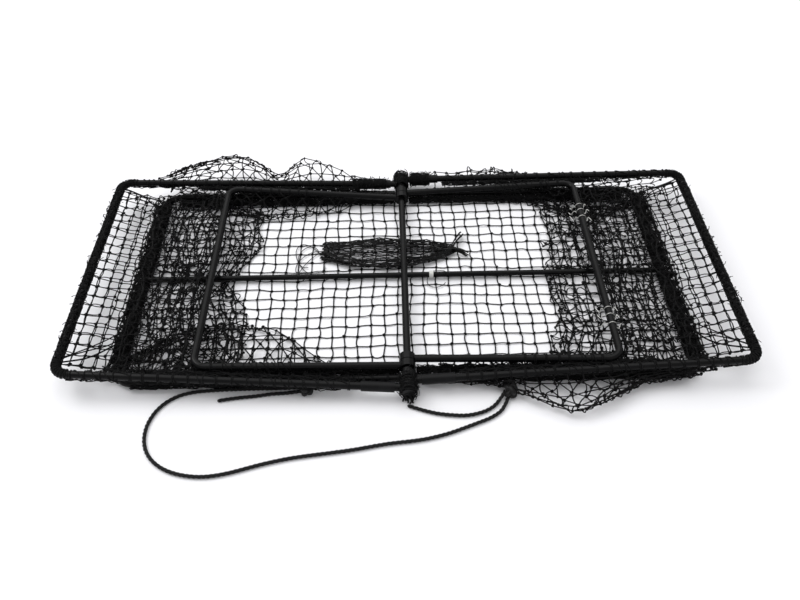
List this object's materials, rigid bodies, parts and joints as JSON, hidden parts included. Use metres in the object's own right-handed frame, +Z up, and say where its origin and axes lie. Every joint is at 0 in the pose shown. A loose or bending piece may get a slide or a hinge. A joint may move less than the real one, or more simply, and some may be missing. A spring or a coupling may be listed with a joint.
{
  "type": "folding crab trap",
  "caption": "Collapsible crab trap folded flat: a rod floor frame and swinging rod hoops on a cross axle, covered in knotted net, with end funnels, a bait bag and a rope.",
  "frame": {"origin": "on the ground under the middle of the cross axle", "axes": "+X along the length to the right, +Y to the rear, +Z up"},
  "size_m": [0.8936, 0.5477, 0.0433],
  "materials": {
    "coated_rod": "satin",
    "black_sleeve": "matte",
    "black_twine": "fuzzy twine",
    "black_net": "knotted twine",
    "bag_net": "glossy fine twine",
    "black_rope": "laid rope",
    "white_clip": "matte",
    "tie_wire": "wire"
  },
  "bodies": {
    "floor_frame": {"base_frame": "coated_rod", "long_bar": "coated_rod", "cross_axle": "coated_rod", "axle_saddle_front": "coated_rod", "axle_saddle_rear": "coated_rod", "base_hem_left": "black_twine", "base_hem_right": "black_twine", "base_seam_front": "black_twine", "base_seam_rear": "black_twine", "base_net": "black_net", "end_net_left": "black_net", "end_net_right": "black_net", "funnel_left": "black_net", "funnel_right": "black_net", "side_net_front_left": "black_net", "side_net_front_right": "black_net", "side_net_rear_left": "black_net", "side_net_rear_right": "black_net", "bait_bag": "bag_net", "bag_clip": "white_clip", "knot_left": "black_rope", "knot_right": "black_rope", "rope_bridle": "black_rope", "rope_tail_left": "black_rope", "rope_tail_right": "black_rope"},
    "outer_hoop_left_body": {"outer_hoop_left": "coated_rod", "outer_hem_left": "black_twine", "outer_seam_left": "black_twine", "sleeve_front_left": "black_sleeve", "sleeve_rear_left": "black_sleeve", "top_net_left": "black_net"},
    "inner_hoop_left_body": {"inner_hoop_left": "coated_rod", "inner_seam_left": "black_twine"},
    "outer_hoop_right_body": {"outer_hoop_right": "coated_rod", "outer_hem_right": "black_twine", "outer_seam_right": "black_twine", "sleeve_front_right": "black_sleeve", "sleeve_rear_right": "black_sleeve", "top_net_right": "black_net"},
    "inner_hoop_right_body": {"inner_hoop_right": "coated_rod", "inner_seam_right": "black_twine", "door_tie_front": "tie_wire", "door_tie_rear": "tie_wire"}
  },
  "joints": [
    {"name": "outer_hoop_left_swing", "type": "hinge", "parent": "floor_frame", "child": "outer_hoop_left_body", "pos_m": [0, 0, 0.0173], "axis": [0, 1, 0], "range_deg": [0, 42.5], "deforming": ["end_net_left", "funnel_left", "side_net_front_left", "side_net_rear_left"]},
    {"name": "inner_hoop_left_swing", "type": "hinge", "parent": "outer_hoop_left_body", "child": "inner_hoop_left_body", "pos_m": [0, 0, 0.0173], "axis": [0, 1, 0], "range_deg": [0, 40], "deforming": ["top_net_left"]},
    {"name": "outer_hoop_right_swing", "type": "hinge", "parent": "floor_frame", "child": "outer_hoop_right_body", "pos_m": [0, 0, 0.0173], "axis": [0, -1, 0], "range_deg": [0, 42.5], "deforming": ["end_net_right", "funnel_right", "side_net_front_right", "side_net_rear_right"]},
    {"name": "inner_hoop_right_swing", "type": "hinge", "parent": "outer_hoop_right_body", "child": "inner_hoop_right_body", "pos_m": [0, 0, 0.0173], "axis": [0, -1, 0], "range_deg": [0, 40], "deforming": ["top_net_right"]}
  ]
}
